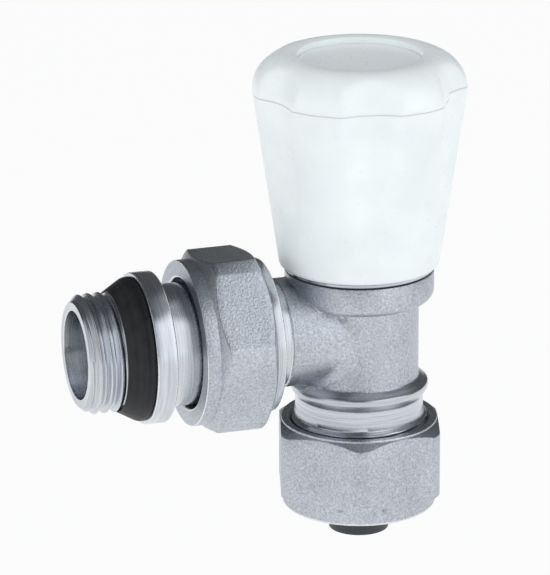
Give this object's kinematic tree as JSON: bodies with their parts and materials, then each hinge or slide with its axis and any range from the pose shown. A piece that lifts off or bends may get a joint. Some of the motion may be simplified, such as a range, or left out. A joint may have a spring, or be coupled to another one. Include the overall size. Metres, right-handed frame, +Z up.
{
  "type": "angled radiator valve",
  "caption": "Angled radiator valve with fluted white handwheel, union tail with self-sealing rubber cone and compression nut for multilayer pipe.",
  "frame": {"origin": "on the tail's axis, at the inner end of the thread that shows, where the rubber seal begins and the radiator's face comes to lie", "axes": "-X out of the tail into the radiator, +X along the tail towards the valve, -Z out of the pipe connection, +Z up along the stem to the handwheel"},
  "size_m": [0.0703, 0.0372, 0.0869],
  "materials": {
    "plated_brass": "nickel-plated forged brass with a fine blasted grain",
    "satin_brass": "nickel-plated turned brass with fine tool lines",
    "turned_brass": "bare turned brass",
    "steel": "bright steel",
    "white_plastic": "white moulded plastic, half gloss",
    "pale_plastic": "pale insulating plastic",
    "grey_plastic": "dark grey moulded plastic",
    "fibre": "dark fibre gasket",
    "rubber": "black rubber, half matt"
  },
  "bodies": {
    "valve": {"valve_body": "plated_brass", "bonnet": "turned_brass", "bonnet_gasket": "fibre"},
    "disc": {"disc_holder": "turned_brass", "disc_snap_ring": "steel", "seat_washer": "rubber", "disc_screw": "turned_brass"},
    "handwheel": {"handwheel": "white_plastic", "handwheel_cap": "white_plastic", "handwheel_screw": "steel", "spindle": "turned_brass", "spindle_o_rings": "rubber"},
    "tail": {"tailpiece": "satin_brass", "tail_gasket": "rubber", "tail_o_ring": "rubber", "tail_snap_ring": "steel"},
    "union_nut": {"union_nut": "plated_brass"},
    "adaptor": {"pipe_insert": "grey_plastic", "nose_o_ring": "rubber", "insert_o_rings": "rubber", "insulating_washer": "pale_plastic", "split_ring": "turned_brass"},
    "compression_nut": {"compression_nut": "plated_brass"}
  },
  "joints": [
    {"name": "spindle_lift", "type": "slide", "parent": "valve", "child": "disc", "axis": [0, 0, 1], "range_m": [0, 0.00376]},
    {"name": "handwheel_turn", "type": "hinge", "parent": "disc", "child": "handwheel", "pos_m": [0.0454, 0, 0], "axis": [0, 0, 1], "range_deg": [0, 900]},
    {"name": "tail_slide", "type": "slide", "parent": "valve", "child": "tail", "axis": [-1, 0, 0], "range_m": [0, 0.00726]},
    {"name": "union_nut_turn", "type": "hinge", "parent": "tail", "child": "union_nut", "pos_m": [0, 0, 0], "axis": [-1, 0, 0], "range_deg": [0, 1440]},
    {"name": "adaptor_slide", "type": "slide", "parent": "valve", "child": "adaptor", "axis": [0, 0, -1], "range_m": [0, 0.00676]},
    {"name": "compression_nut_turn", "type": "hinge", "parent": "adaptor", "child": "compression_nut", "pos_m": [0.0454, 0, 0], "axis": [0, 0, -1], "range_deg": [0, 1620]}
  ],
  "couplings": [
    {"joint": "spindle_lift", "follows": "handwheel_turn", "m_per_rad": 0.00023873},
    {"joint": "tail_slide", "follows": "union_nut_turn", "m_per_rad": 0.00028871},
    {"joint": "adaptor_slide", "follows": "compression_nut_turn", "m_per_rad": 0.00023873}
  ]
}
